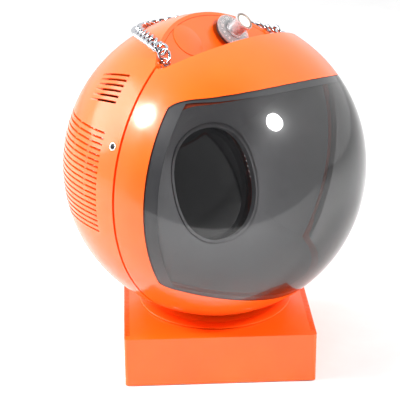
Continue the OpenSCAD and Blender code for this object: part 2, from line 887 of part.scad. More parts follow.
module screen_bezel() {
    color("silver") set_place() screen_place() difference() {
        union() {
            oval_ring(mask_lip - 0.4, 0, -bezel_step, bezel_front);
            oval_ring(bezel_flange, 0, -bezel_back, -bezel_step);
            at_lugs() translate([0, 0, -band_front])
                cylinder(r = lug_r, h = band_front - bezel_step);
        }
        at_lugs() translate([0, 0, -band_front - 1]) cylinder(r = screw_r, h = 9);
        // The lugs keep clear of the glass and its band
        translate([0, 0, -far - bezel_back]) linear_extrude(far)
            polygon(oval(glass_edge + band_t + 2 * band_clear, 72));
    }
}

module picture_tube() {
    color("lightslategray") set_place() screen_place() {
        intersection() {
            translate([0, 0, -glass_depth]) linear_extrude(glass_depth) polygon(oval(glass_edge, 72));
            translate([0, 0, -glass_crown - glass_bow]) sphere(glass_bow, $fn = 160);
        }
        rotate_extrude($fn = 96) polygon([[0, -glass_depth + 0.5], [screen_b + 2, -glass_depth + 0.5],
            [screen_b + 2, -glass_depth], [50, -37], [40, -48], [28, -58], [17, -68], [neck_r, -neck_fillet],
            [neck_r, -neck_end], [0, -neck_end]]);
    }
}

module tube_band() {
    color(steel) set_place() screen_place() difference() {
        union() {
            oval_ring(glass_edge + band_clear + band_t, glass_edge + band_clear, -band_back, -band_front);
            at_lugs() translate([-lug_out / 2, 0, -band_front - lug_t]) block([-1, lug_out], [-5, 5], [0, lug_t]);
        }
        at_lugs() translate([0, 0, -far / 2]) cylinder(r = screw_r + 0.2, h = far);
        translate([0, 0, -far / 2]) linear_extrude(far) polygon(oval(glass_edge + band_clear, 72));
    }
}

module tube_screws() {
    color(steel) set_place() screen_place() at_lugs() translate([0, 0, -band_front - lug_t])
        mirror([0, 0, 1]) translate([0, 0, 1.4]) screw(3, 1.4, screw_r - 0.05, 9);
}

module yoke_coils() {
    color("peru") set_place() screen_place() rotate_extrude($fn = 96)
        polygon([[25, -61.2], [17.8, -68], [neck_r + 0.4, -neck_fillet - 0.4], [neck_r + 0.4, -92],
                 [22, -92], [24, -72], [35, -66], [35, -61.2]]);
}

module yoke_core() {
    color("dimgray") set_place() screen_place() rotate_extrude($fn = 96)
        polygon([[24.3, -72.6], [31, -72.6], [31, -86], [23, -86]]);
}

// Two thin magnet rings with tabs, for centring the picture
module centring_rings() {
    color("khaki") set_place() screen_place() for (i = [0, 1]) translate([0, 0, -96 - 2.5 * i]) {
        ring(16, neck_r + 0.3, 1.6);
        rotate([0, 0, 30 + 80 * i]) block([14, 21], [-2, 2], [0, 1.6]);
    }
}

module tube_socket() {
    color("saddlebrown") set_place() screen_place() translate([0, 0, -neck_end]) {
        difference() {
            translate([0, 0, -3]) cylinder(r = neck_r + 2.5, h = 12);
            cylinder(r = neck_r + 0.2, h = 12);
        }
        translate([0, 0, -3 - board_t]) cylinder(r = 2 * neck_r, h = board_t + 0.1);
    }
}

// ---------- chassis ----------

module chassis_plate() {
    color(steel) set_place() difference() {
        block([-chassis_half, chassis_half], [chassis_y, chassis_y + chassis_t],
              [chassis_low, chassis_high]);
        translate([0, 0, yoke_hole_z]) rotate([-90, 0, 0]) cylinder(r = yoke_hole_r, h = far);
        for (x = [-post_x, post_x], z = [post_low, post_high])
            translate([x, 0, z]) rotate([-90, 0, 0]) cylinder(r = screw_r + 0.2, h = far);
    }
}

module chassis_screws() {
    color(steel) set_place() for (x = [-post_x, post_x], z = [post_low, post_high])
        translate([x, chassis_y - 1.4, z]) rotate([90, 0, 0]) screw(3, 1.4, screw_r - 0.05, 12);
}

module main_board() {
    color("darkgreen") set_place()
        block([-pcb_half, pcb_half], [pcb_y, pcb_y + board_t], [pcb_low, pcb_high]);
}

module board_spacers() {
    color("ivory") set_place() for (x = [-1, 1], z = [pcb_low + 6, chassis_high - 6])
        translate([x * (pcb_half - 6), chassis_y + chassis_t, z]) rotate([-90, 0, 0])
            cylinder(r = 3, h = pcb_y - chassis_y - chassis_t);
}

module capacitors() {
    color("midnightblue") set_place() translate([0, pcb_y + board_t, 0]) rotate([-90, 0, 0]) {
        translate([-30, -20, 0]) cylinder(r = 9, h = 28);
        translate([-30, -42, 0]) cylinder(r = 9, h = 28);
        translate([-12, -18, 0]) cylinder(r = 6, h = 22);
        translate([-12, -36, 0]) cylinder(r = 6, h = 22);
    }
}

module heat_sink() {
    color("silver") set_place() {
        block([8, 40], [pcb_y + board_t, pcb_y + board_t + 2], [12, 46]);
        for (i = [0:4]) block([8 + 7.5 * i, 10 + 7.5 * i],
                              [pcb_y + board_t + 1, pcb_y + board_t + 18], [12, 46]);
    }
}

module mains_transformer() {
    color("dimgray") set_place() {
        block([-65, -39], [chassis_y + chassis_t, chassis_y + chassis_t + 24], [-70, -38]);
        block([-61, -43], [chassis_y + chassis_t + 4, chassis_y + chassis_t + 20], [-74, -34]);
    }
}

module flyback_transformer() {
    color("darkslategray") set_place() {
        block([40, 46], [chassis_y + chassis_t, chassis_y + chassis_t + 24], [-68, -38]);
        block([40, 64], [chassis_y + chassis_t, chassis_y + chassis_t + 6], [-68, -38]);
        translate([54, chassis_y + chassis_t + 6, -53]) rotate([-90, 0, 0]) cylinder(r = 9, h = 16);
    }
}

// ---------- control recess ----------

module control_panel() {
    color(orange) set_place() difference() {
        intersection() {
            union() {
                panel_place() block([-far / 2, far / 2], [-trough_depth - panel_t, far / 2],
                                    [-panel_t, 0]);
                // Front wall of the trough, square to the panel
                panel_place() block([-far / 2, far / 2], [-trough_depth - panel_t, -trough_depth],
                                    [-panel_t, far / 2]);
                at_both_sides() cheeks();
            }
            sphere(panel_r, $fn = 160);
        }
        cap_seat();
        panel_place(-cap_x, cap_up) translate([0, 0, -10]) cylinder(r = cap_stem_r + 0.2, h = 12);
        panel_place(knob_x, knob_up) translate([0, 0, -10])
            cylinder(r = spindle_r + run_clear + bush_t + 0.1, h = 20);
        // Slots that the end rings hang in
        at_both_sides() panel_place(pin_x) block([-slot_half, slot_half], [-7, 12], [-14, 10]);
        at_both_sides() chain_pin(0.02, 1.5);
    }
}

// A cheek either side of an end ring's slot holds its pin
module cheeks() {
    panel_place(pin_x) for (side = [-1, 1])
        block(side > 0 ? [slot_half - 0.1, slot_half + cheek_t] : [-slot_half - cheek_t, 0.1 - slot_half],
              [-3.5, 1.5], [-6, 2.2]);
}

// Shallow seat for the cap
module cap_seat() {
    panel_place(-cap_x, cap_up) translate([0, 0, -cap_t]) cylinder(r = cap_r + 0.2, h = 5);
}

module blank_cap() {
    color(orange) set_place() panel_place(-cap_x, cap_up) {
        intersection() {
            translate([0, 0, -cap_t]) cylinder(r = cap_r, h = cap_t + cap_dome + 1);
            translate([0, 0, cap_dome - dome_r()]) sphere(dome_r(), $fn = 128);
        }
        translate([0, 0, -cap_t - 6]) cylinder(r = cap_stem_r, h = 6.1);
    }
}

// Radius of the dome that drops by its height less 0.6 at the cap's edge
function dome_r() = (pow(cap_r, 2) + pow(cap_dome - 0.6, 2)) / (2 * (cap_dome - 0.6));

module tuner_box() {
    color("silver") set_place() panel_place(knob_x, knob_up) difference() {
        block([-tuner_w / 2, tuner_w / 2], [-tuner_h + 6, 6], [-tuner_gap - panel_t - tuner_d,
              -tuner_gap - panel_t]);
        translate([0, 0, -tuner_gap - panel_t - 12]) cylinder(r = spindle_r + 0.5, h = 20);
    }
}

module tuner_bush() {
    color("goldenrod") set_place() panel_place(knob_x, knob_up)
        translate([0, 0, -tuner_gap - panel_t]) difference() {
            union() {
                cylinder(r = spindle_r + run_clear + bush_t, h = tuner_gap + panel_t + 2.4);
                cylinder(r = spindle_r + 5, h = tuner_gap - 0.2);
            }
            translate([0, 0, -1]) cylinder(r = spindle_r + run_clear, h = far);
        }
}

module channel_shaft() {
    color(steel) set_place() panel_place(knob_x, knob_up) translate([0, 0, -tuner_gap - panel_t - 8])
        ring(spindle_r, fine_r + run_clear, knob_lift + dial_t + tuner_gap + panel_t + 8);
}

// Dark disc under the clear dial
module number_disc() {
    color(black) set_place() panel_place(knob_x, knob_up)
        translate([0, 0, knob_lift - disc_t]) ring(disc_r, spindle_r, disc_t);
}

module channel_dial() {
    color(clear) set_place() panel_place(knob_x, knob_up) translate([0, 0, knob_lift])
        rotate_extrude($fn = 96) polygon([[spindle_r, 0], [dial_r - 0.6, 0], [dial_r, 0.6],
            [dial_r, dial_t - 0.5], [dial_r - 0.5, dial_t], [spindle_r, dial_t]]);
}

module fine_shaft() {
    color(steel) set_place() panel_place(knob_x, knob_up) translate([0, 0, -tuner_gap - panel_t - 10])
        cylinder(r = fine_r, h = tuner_gap + panel_t + 10 + hub_z + 9);
}

module fine_hub() {
    color(clear) set_place() panel_place(knob_x, knob_up) translate([0, 0, hub_z]) difference() {
        rotate_extrude($fn = 96) polygon([[0, 0], [hub_r - 0.5, 0], [hub_r, 0.5],
            [hub_r - 0.3, hub_h - 1], [hub_r - 1.2, hub_h], [0, hub_h]]);
        translate([0, 0, 9]) cylinder(r = hub_r - hub_wall, h = hub_h);
        translate([0, 0, -1]) cylinder(r = fine_r, h = 10);
    }
}

// Orange core and pale button in the end of the hub
module fine_cap() {
    color("wheat") set_place() panel_place(knob_x, knob_up) translate([0, 0, hub_z + 9]) {
        cylinder(r = hub_r - hub_wall - 0.05, h = hub_h - 9.6);
        translate([0, 0, hub_h - 9.7]) cylinder(r = 3.6, h = 1.2);
    }
}

// ---------- speaker ----------

module speaker_frame() {
    color(steel) set_place() ball_place(speaker_az, speaker_el, speaker_face) {
        rotate_extrude($fn = 96) polygon([[speaker_r - 4, 1.7], [speaker_r, 1.7], [speaker_r, 0],
            [speaker_r - 2, 0], [16, -basket_depth], [10, -basket_depth], [10, 1.6 - basket_depth],
            [15, 1.6 - basket_depth], [speaker_r - 4, 0]]);
    }
}

module speaker_cone() {
    color(black) set_place() ball_place(speaker_az, speaker_el, speaker_face)
        rotate_extrude($fn = 96) polygon([[speaker_r - 5, 1.2], [speaker_r - 5, 0.4],
            [9, 2.2 - basket_depth], [0, 2.2 - basket_depth], [0, 3.2 - basket_depth], [8.4, 3.2 - basket_depth]]);
}

module speaker_magnet() {
    color("dimgray") set_place() ball_place(speaker_az, speaker_el, speaker_face)
        translate([0, 0, -basket_depth - magnet_t]) cylinder(r = magnet_r, h = magnet_t);
}

// ---------- back ----------

module rear_panel() {
    color(black) set_place() rear_place() difference() {
        block([-rear_w / 2, rear_w / 2], [-rear_h / 2, rear_h / 2], [-panel_t + 0.05, 0]);
        for (x = [-rear_knob_x, 0, rear_knob_x]) translate([x, rear_knob_up, -10])
            cylinder(r = 4.6, h = 20);
        block([-27.2, -0.8], [-rear_plug_drop - 9.2, -rear_plug_drop + 9.2], [-10, 10]);
        translate([16, -rear_plug_drop, -10]) cylinder(r = 6.2, h = 20);
        for (x = [-1, 1], y = [-1, 1]) translate([x * (rear_w / 2 - 2), y * (rear_h / 2 - 2), -20])
            cylinder(r = 1, h = 30);
    }
}

module rear_panel_screws() {
    color("silver") set_place() rear_place()
        for (x = [-1, 1], y = [-1, 1]) translate([x * (rear_w / 2 - 2), y * (rear_h / 2 - 2), 1])
            screw(1.8, 0.95, 0.75, 5);
}

// Three potentiometers, their threaded bushes through the panel
module control_pots() {
    color("silver") set_place() rear_place() for (x = [-rear_knob_x, 0, rear_knob_x])
        translate([x, rear_knob_up, 0]) difference() {
            union() {
                translate([0, 0, -panel_t - 9]) cylinder(r = 8, h = 8.8);
                translate([0, 0, -panel_t - 1]) cylinder(r = 4.5, h = panel_t + 2.2);
            }
            translate([0, 0, -panel_t - 5]) cylinder(r = pot_shaft_r + run_clear, h = 20);
        }
}

module rear_knob(x) {
    set_place() rear_place() translate([x, rear_knob_up, 0]) difference() {
        union() {
            translate([0, 0, 1.6]) cylinder(r = rear_knob_r, h = rear_knob_h - 0.8);
            translate([0, 0, 1.6]) cylinder(r = rear_knob_r - 0.8, h = rear_knob_h);
            translate([0, 0, -panel_t - 4]) cylinder(r = pot_shaft_r, h = panel_t + 7);
        }
        for (i = [0:15]) rotate([0, 0, 22.5 * i]) translate([rear_knob_r + 0.3, 0, 1])
            cylinder(r = 0.8, h = rear_knob_h + 2);
    }
}

module volume_knob() {
    color(black) rear_knob(-rear_knob_x);
}

module brightness_knob() {
    color(black) rear_knob(0);
}

module contrast_knob() {
    color(black) rear_knob(rear_knob_x);
}

// Recessed inlet with two pins
module mains_inlet() {
    color(black) set_place() rear_place() translate([-14, -rear_plug_drop, 0]) {
        difference() {
            union() {
                block([-13, 13], [-9, 9], [-14, 0]);
                block([-14.5, 14.5], [-10.5, 10.5], [0.05, 1.5]);
                block([-12, 12], [-8, 8], [-1, 1]);
            }
            block([-10.5, 10.5], [-6.5, 6.5], [-12, 3]);
        }
        for (x = [-4, 4]) translate([x, 0, -12.5]) cylinder(r = 1.2, h = 7);
    }
}

module aerial_socket() {
    color("silver") set_place() rear_place() translate([16, -rear_plug_drop, 0]) difference() {
        union() {
            translate([0, 0, -10]) cylinder(r = 6, h = 12.5);
            translate([0, 0, 0.05]) cylinder(r = 7.5, h = 1.2);
        }
        translate([0, 0, -8]) ring(4.7, 1.2, 20);
    }
}

// ---------- chain ----------

// One link about the origin, its length along X and its face towards Z
module chain_link() {
    for (side = [0, 180]) rotate([0, 0, side]) {
        translate([link_straight, 0, 0]) rotate([0, 0, -90]) rotate_extrude(angle = 180, $fn = 32)
            translate([link_bend, 0]) circle(r = wire_r, $fn = 20);
        translate([-link_straight, link_bend, 0]) rotate([0, 90, 0])
            cylinder(r = wire_r, h = 2 * link_straight, $fn = 20);
    }
}

// A link at a place, with its length along a way and its face turned from an outward direction
module placed_link(at, way, out, roll) {
    x = way / norm(way);
    y = cross(out, x) / norm(cross(out, x));
    z = cross(x, y);
    multmatrix([for (i = [0:2]) [x[i], y[i], z[i], at[i]]]) rotate([roll, 0, 0]) chain_link();
}

// Each link is a quarter turn from the last, and lies at half a quarter to the ball
module carry_chain() {
    color("silver") set_place() for (i = [0:loop_links - 1])
        let (at = route_at(loop_route, (i + 0.5) * loop_step))
            placed_link(at[0], at[1], at[0], 90 * (i % 2) - 45);
}

// A ring at each side hangs on its pin and carries one end of the loop
module chain_end_links() {
    color("silver") set_place() at_both_sides() translate([pin_x, ring_y, ring_z]) rotate([0, 90, 0])
        rotate_extrude($fn = 48) translate([ring_r, 0]) circle(r = wire_r, $fn = 20);
}

module chain_pins() {
    color(steel) set_place() at_both_sides() chain_pin(0, 0);
}

// A pin as long as its cheeks are apart, or its hole, which is wider and longer
module chain_pin(wider, longer) {
    half = slot_half + cheek_t + longer;
    translate([pin_x - half, pin_y, pin_z]) rotate([0, 90, 0]) cylinder(r = pin_r + wider, h = 2 * half);
}

// ---------- the part ----------

base_housing();
base_plate();
base_feet();
base_screws();
ballast_weight();
swivel_bush();
glide_ring();
turntable();
swivel_spindle();
spindle_washer();
spindle_clip();
set_bolt();
front_shell();
rear_shell();
visor();
screen_mask();
screen_bezel();
control_panel();
blank_cap();
shell_screws();
screw_cups();
chain_pins();
chain_end_links();
carry_chain();
picture_tube();
tube_band();
tube_screws();
yoke_coils();
yoke_core();
centring_rings();
tube_socket();
chassis_plate();
chassis_screws();
main_board();
board_spacers();
capacitors();
heat_sink();
mains_transformer();
flyback_transformer();
tuner_box();
tuner_bush();
channel_shaft();
number_disc();
channel_dial();
fine_shaft();
fine_hub();
fine_cap();
speaker_frame();
speaker_cone();
speaker_magnet();
rear_panel();
rear_panel_screws();
control_pots();
volume_knob();
brightness_knob();
contrast_knob();
mains_inlet();
aerial_socket();
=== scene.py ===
# %% [markdown]
# # A ball-shaped portable television
# The set is a ball of glossy orange plastic that swivels on a square base. A smoked visor
# covers a small picture tube, a chrome chain is its handle, and a clear knob tunes it.
# This lesson dresses a finished CAD model: it keeps the shapes that are right, remodels
# the pieces that need softer forms, and gives every surface a procedural finish.

# %% Setup
import json
import math

import bpy
from mathutils import Matrix, Vector


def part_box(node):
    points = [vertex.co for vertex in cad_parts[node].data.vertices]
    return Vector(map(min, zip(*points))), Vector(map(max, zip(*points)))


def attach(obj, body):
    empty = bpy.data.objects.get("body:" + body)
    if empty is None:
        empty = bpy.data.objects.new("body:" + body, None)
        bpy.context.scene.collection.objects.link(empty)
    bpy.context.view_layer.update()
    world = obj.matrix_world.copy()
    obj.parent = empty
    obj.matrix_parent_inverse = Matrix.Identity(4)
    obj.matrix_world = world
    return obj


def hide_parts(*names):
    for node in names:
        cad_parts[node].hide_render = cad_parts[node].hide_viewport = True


MM = 0.001
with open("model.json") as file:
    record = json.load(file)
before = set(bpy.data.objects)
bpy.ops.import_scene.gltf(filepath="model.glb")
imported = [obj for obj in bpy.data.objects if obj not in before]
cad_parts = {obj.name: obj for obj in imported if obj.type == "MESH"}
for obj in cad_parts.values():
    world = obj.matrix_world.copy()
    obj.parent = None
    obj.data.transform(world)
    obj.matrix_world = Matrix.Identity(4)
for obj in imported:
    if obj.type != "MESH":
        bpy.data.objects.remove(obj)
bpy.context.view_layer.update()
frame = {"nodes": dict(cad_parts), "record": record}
NODES = frame["nodes"]
RECORD = frame["record"]

# %% [markdown]
# The frame tells where things are. Joints give the middle and the direction of whatever
# turns, and the lowest point of the two shells gives the middle of the ball. Places could
# be typed in as numbers, but read from the frame they follow the CAD model if it changes.

# %% Landmarks
JOINTS = {joint["name"]: joint for joint in RECORD["behaviour"]["joints"]}


def joint_place(name):
    joint = JOINTS[name]
    return Vector(joint["pos_m"]), Vector(joint["axis"]).normalized()


BALL_R = 0.140
ball_low = min(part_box("front_shell")[0][2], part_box("rear_shell")[0][2])
BALL = Vector((0, 0, ball_low + BALL_R))
KNOB, KNOB_AXIS = joint_place("channel_turn")
RIGHT = joint_place("chain_lift")[1]
KNOB_UP = KNOB_AXIS.cross(RIGHT).normalized()
print("ball middle", BALL, "knob", KNOB)

# %% [markdown]
# The camera stands a little above the set and looks down on it, with a long lens, so that
# the ball stays round. It could be aimed with a Track To constraint. Here its three axes
# are worked out from a yaw, a pitch and a roll, and the first of them is used again for
# the air of the room.

# %% Camera
LENS = 125.46
CAMERA_AT = Vector((-0.07271, -1.20353, 0.64456))
YAW, PITCH, ROLL = math.radians(2.80), math.radians(22.44), math.radians(0.40)
SENSOR = 36
FURTHEST = 50
ahead = Vector((math.sin(YAW) * math.cos(PITCH),
                math.cos(YAW) * math.cos(PITCH),
                -math.sin(PITCH)))
level = Vector((math.cos(YAW), -math.sin(YAW), 0))
down = ahead.cross(level)
across = level * math.cos(ROLL) + down * math.sin(ROLL)
down = down * math.cos(ROLL) - level * math.sin(ROLL)
bpy.ops.object.select_all(action="DESELECT")
bpy.ops.object.camera_add(location=CAMERA_AT)
camera = bpy.context.object
camera.name = "camera"
camera.rotation_euler = Matrix((across, -down, -ahead)).transposed().to_euler()
camera.data.lens = LENS
camera.data.sensor_width = SENSOR
camera.data.clip_end = FURTHEST
bpy.context.scene.camera = camera
print("camera", tuple(CAMERA_AT))

# %% [markdown]
# Three helpers run through the lesson. One turns a colour picked on a screen into the
# linear value that shading works with. One adds a node with its settings and its links,
# and one starts a material and sets the sockets that are the same all over its surface.

# %% Colour and node helpers


def linear(hex_colour):
    channels = [int(hex_colour[i:i + 2], 16) / 255 for i in (1, 3, 5)]
    return [c / 12.92 if c <= 0.04045 else ((c + 0.055) / 1.055) ** 2.4 for c in channels] + [1.0]


def add_node(tree, kind, inputs=None, **settings):
    made = tree.nodes.new(kind)
    for key, value in settings.items():
        setattr(made, key, value)
    for key, value in (inputs or {}).items():
        if isinstance(value, tuple) and hasattr(value[0], "outputs"):
            tree.links.new(value[0].outputs[value[1]], made.inputs[key])
        else:
            made.inputs[key].default_value = value
    return made


def new_material(name, **sockets):
    material = bpy.data.materials.new(name)
    material.use_nodes = True
    tree = material.node_tree
    shader = tree.nodes["Principled BSDF"]
    for key, value in sockets.items():
        shader.inputs[key.replace("_", " ")].default_value = value
    return material, tree, shader


print("orange in linear light", [round(v, 3) for v in linear("#FF5A10")])

# %% [markdown]
# ## Finishes
# Most pieces are moulded plastic. A polished mould leaves a faint orange peel about a
# millimetre across, a slow drift of colour over a few centimetres where the melt flowed,
# and a gloss that handling dulls in places. Each could be drawn as its own node tree, but
# one function makes the whole family, so that they age alike. A coat with a broad lobe
# stands for the haze of age, which leaves a glow round a highlight.

# %% Moulded plastics
# Noise mostly keeps between these two values
NOISE_LOW, NOISE_HIGH = 0.3, 0.7
HANDLING_MM = 14
HAZE_ROUGH = 0.4
PEEL_STRENGTH = 0.35
# Handling polishes the gloss here and dulls it there
POLISHED, DULLED = 0.8, 1.3


def moulded(name, colour, drift, rough, peel_mm=1.2, depth_mm=0.004, ior=1.53, haze=0.0,
            drift_mm=45):
    """Plastic: its colour drifts, its gloss is worn in places, and its skin has a fine peel."""
    material, tree, shader = new_material(name, IOR=ior, Coat_Weight=haze,
                                          Coat_Roughness=HAZE_ROUGH)
    place = add_node(tree, "ShaderNodeTexCoord")
    flow = add_node(tree, "ShaderNodeTexNoise",
                    {"Vector": (place, "Object"), "Scale": 1 / (drift_mm * MM), "Detail": 3.0})
    tint = add_node(tree, "ShaderNodeValToRGB", {"Fac": (flow, "Fac")})
    tint.color_ramp.elements[0].position = NOISE_LOW
    tint.color_ramp.elements[1].position = NOISE_HIGH
    tint.color_ramp.elements[0].color = linear(drift)
    tint.color_ramp.elements[1].color = linear(colour)
    peel = add_node(tree, "ShaderNodeTexNoise",
                    {"Vector": (place, "Object"), "Scale": 1 / (peel_mm * MM), "Detail": 2.0})
    worn = add_node(tree, "ShaderNodeTexNoise",
                    {"Vector": (place, "Object"), "Scale": 1 / (HANDLING_MM * MM), "Detail": 5.0})
    gloss = add_node(tree, "ShaderNodeMapRange",
                     {"Value": (worn, "Fac"), "From Min": NOISE_LOW, "From Max": NOISE_HIGH,
                      "To Min": rough * POLISHED, "To Max": rough * DULLED})
    relief = add_node(tree, "ShaderNodeBump",
                      {"Height": (peel, "Fac"), "Strength": PEEL_STRENGTH,
                       "Distance": depth_mm * MM})
    tree.links.new(tint.outputs["Color"], shader.inputs["Base Color"])
    tree.links.new(gloss.outputs["Result"], shader.inputs["Roughness"])
    tree.links.new(relief.outputs["Normal"], shader.inputs["Normal"])
    return material


print("moulded plastic is worn in patches of", HANDLING_MM, "mm")

# %% The moulded finishes
FINISH = {
    # Glossy ABS from a polished mould: deep orange, mirror-like at a glance
    "orange_plastic": moulded("polished_orange_abs", "#FF600F", "#FB5A0D", 0.17,
                              peel_mm=1.6, ior=1.46, haze=0.3),
    # Black ABS from a spark-eroded mould, which scatters the gloss
    "black_plastic": moulded("black_abs", "#151515", "#101010", 0.42,
                             peel_mm=0.6, depth_mm=0.03),
    # Moulded rubber: nearly no gloss
    "rubber_feet": moulded("black_rubber", "#1B1B1B", "#131313", 0.8,
                           peel_mm=0.5, depth_mm=0.04, ior=1.52),
    # Natural nylon: waxy and slightly yellow
    "nylon": moulded("natural_nylon", "#E6DBC2", "#DDD0B4", 0.35),
    # Grey polystyrene mask, sprayed satin so that it doesn't mirror the picture
    "grey_mask": moulded("satin_grey_mask", "#BEBEC1", "#B5B5B8", 0.5,
                         peel_mm=0.8, depth_mm=0.01),
    # Silver-grey lacquer on the ring round the tube
    "silver_bezel": moulded("silver_lacquer", "#B5B5B8", "#ABABAE", 0.3, peel_mm=0.3),
    # Phenolic: brown, hard and slightly mottled
    "brown_plastic": moulded("brown_phenolic", "#3A2317", "#2C1A10", 0.4, drift_mm=6),
    # Solder mask over glass laminate, with the weave just showing
    "green_board": moulded("green_laminate", "#1C6B3A", "#175C31", 0.38,
                           peel_mm=0.5, depth_mm=0.02),
    # Bonded ferrite rings, dull
    "magnet_rings": moulded("bonded_ferrite", "#BCA878", "#AC9866", 0.55, drift_mm=8),
    # Pressed paper with its fibres
    "paper_cone": moulded("pressed_paper", "#2A2A2A", "#1C1C1C", 0.85,
                          peel_mm=0.4, depth_mm=0.06),
}
print("moulded finishes", len(FINISH))

# %% [markdown]
# Metals differ by how their surface was made. Turned and drawn pieces carry fine lines,
# plated ones are smooth with a slow ripple, and cast iron is coarse. Lines could come from
# a Wave texture, but its lines are all alike. A stretched noise draws uneven lines, and a
# round one draws grain, so one function does both.

# %% Metals
TARNISH_MM = 9
TARNISH_TONE = 0.86
GRAIN_STRENGTH = 0.3
# Clean metal is glossier than tarnished metal
CLEAN, TARNISHED = 0.7, 1.4


def metal(name, colour, rough, grain_mm=0.4, stretch=(1, 1, 1), depth_mm=0.01, metallic=1.0):
    """Metal: fine grain or lines in its skin, and a slow tarnish in its colour and gloss."""
    material, tree, shader = new_material(name, Metallic=metallic)
    place = add_node(tree, "ShaderNodeTexCoord")
    lie = add_node(tree, "ShaderNodeMapping", {"Vector": (place, "Object"), "Scale": stretch})
    grain = add_node(tree, "ShaderNodeTexNoise",
                     {"Vector": (lie, "Vector"), "Scale": 1 / (grain_mm * MM), "Detail": 3.0})
    smear = add_node(tree, "ShaderNodeTexNoise",
                     {"Vector": (place, "Object"), "Scale": 1 / (TARNISH_MM * MM), "Detail": 4.0})
    gloss = add_node(tree, "ShaderNodeMapRange",
                     {"Value": (smear, "Fac"), "From Min": NOISE_LOW, "From Max": NOISE_HIGH,
                      "To Min": rough * CLEAN, "To Max": rough * TARNISHED})
    tone = add_node(tree, "ShaderNodeValToRGB", {"Fac": (smear, "Fac")})
    tone.color_ramp.elements[0].color = [c * TARNISH_TONE for c in linear(colour)[:3]] + [1]
    tone.color_ramp.elements[1].color = linear(colour)
    relief = add_node(tree, "ShaderNodeBump",
                      {"Height": (grain, "Fac"), "Strength": GRAIN_STRENGTH,
                       "Distance": depth_mm * MM})
    tree.links.new(tone.outputs["Color"], shader.inputs["Base Color"])
    tree.links.new(gloss.outputs["Result"], shader.inputs["Roughness"])
    tree.links.new(relief.outputs["Normal"], shader.inputs["Normal"])
    return material


print("metal tarnishes in patches of", TARNISH_MM, "mm")

# %% The metal finishes
FINISH.update({
    # Zinc-plated steel: bluish grey with a satin sheen
    "steel": metal("zinc_plated_steel", "#B9BDC2", 0.32),
    # Iron left as cast: dark, coarse and dull
    "iron": metal("cast_iron", "#3B3B3D", 0.6, grain_mm=0.9, depth_mm=0.12, metallic=0.8),
    # Polished chrome over nickel: a mirror with a very slow ripple
    "chrome": metal("polished_chrome", "#C9CBD0", 0.07, grain_mm=2.0, depth_mm=0.003),
    # Enamelled copper wire wound in layers: the stretched grain draws the turns
    "copper_coils": metal("enamelled_copper", "#B4623A", 0.35,
                          grain_mm=0.6, stretch=(1, 1, 0.1), depth_mm=0.2),
    # Drawn aluminium, with fine lines along its length
    "aluminium": metal("drawn_aluminium", "#C9CBCF", 0.35, stretch=(1, 1, 0.05)),
    # Tin plate, dull where it was handled
    "tinned_box": metal("tin_plate", "#AEB1B5", 0.3),
    # Turned brass: warm and bright, dulled a little where it was touched
    "brass": metal("turned_brass", "#C8A04E", 0.25),
})
print("finishes so far", len(FINISH))

# %% [markdown]
# Three finishes are glass or clear plastic. Their colour and gloss vary only a little, in
# slow clouds, because they were cast or polished. One function draws that.

# %% Glass and clear plastics


def glassy(name, dark, light, cloud_mm, detail, rough_low, rough_high, **sockets):
    """Glass or clear plastic, with slow clouds in its colour and its gloss."""
    material, tree, shader = new_material(name, **sockets)
    place = add_node(tree, "ShaderNodeTexCoord")
    cloud = add_node(tree, "ShaderNodeTexNoise",
                     {"Vector": (place, "Object"), "Scale": 1 / (cloud_mm * MM),
                      "Detail": detail})
    tint = add_node(tree, "ShaderNodeValToRGB", {"Fac": (cloud, "Fac")})
    tint.color_ramp.elements[0].color = linear(dark)
    tint.color_ramp.elements[1].color = linear(light)
    gloss = add_node(tree, "ShaderNodeMapRange",
                     {"Value": (cloud, "Fac"), "To Min": rough_low, "To Max": rough_high})
    tree.links.new(tint.outputs["Color"], shader.inputs["Base Color"])
    tree.links.new(gloss.outputs["Result"], shader.inputs["Roughness"])
    return material, tree, shader


# The tube's face is thick grey glass over a grey phosphor that shows almost black when off
FINISH["tube_glass"] = glassy("dark_tube_glass", "#0B0C0C", "#101212", 25, 2.0, 0.08, 0.14,
                              IOR=1.52, Coat_Weight=1.0, Coat_Roughness=0.02)[0]
# Clear acrylic, turned and polished, with a faint grey cast through its thickness
FINISH["clear_plastic"] = glassy("clear_acrylic", "#DCDCDE", "#F0F0F2", 3, 4.0, 0.03, 0.12,
                                 IOR=1.49, Transmission_Weight=0.7)[0]
print("clear finishes", FINISH["tube_glass"].name, FINISH["clear_plastic"].name)

# %% [markdown]
# The visor is smoked acrylic. It dims what is behind it, and at a glancing angle its gloss
# takes over. Real refraction would let little light through to the mask, so the visor is
# shaded as a thin dark film instead, and its opacity rises towards its edges.

# %% Smoked visor
VISOR_CLEAREST = 0.38
smoke, tree, shader = glassy("smoked_acrylic", "#0D0D0F", "#121214", 60, 4.0, 0.03, 0.09,
                             IOR=1.75, Coat_Weight=0.45, Coat_Roughness=0.32)
edge = add_node(tree, "ShaderNodeLayerWeight", {"Blend": 0.35})
cover = add_node(tree, "ShaderNodeMapRange",
                 {"Value": (edge, "Facing"), "From Min": 0.1, "From Max": 0.95,
                  "To Min": VISOR_CLEAREST, "To Max": 1.0})
tree.links.new(cover.outputs["Result"], shader.inputs["Alpha"])
FINISH["smoked_visor"] = smoke
print("finishes", sorted(FINISH))

# %% [markdown]
# Every CAD node has a finish named in the record. Finishes could be put on node by node,
# but by that name one loop dresses them all, and a node that is added is dressed too.

# %% Dress the CAD nodes
for row in RECORD["subparts"]:
    mesh = NODES[row["node"]].data
    mesh.materials.clear()
    mesh.materials.append(FINISH[row["material_slot"]])
print("dressed", len(RECORD["subparts"]), "nodes")

# %% [markdown]
# ## Modelling helpers
# A copy of a CAD node is loose triangles, so its doubles are merged first. What repeats in
# a node, such as a chain's links, then falls apart into islands whose middles can be read.

# %% Islands of a node
WELD = 0.02 * MM


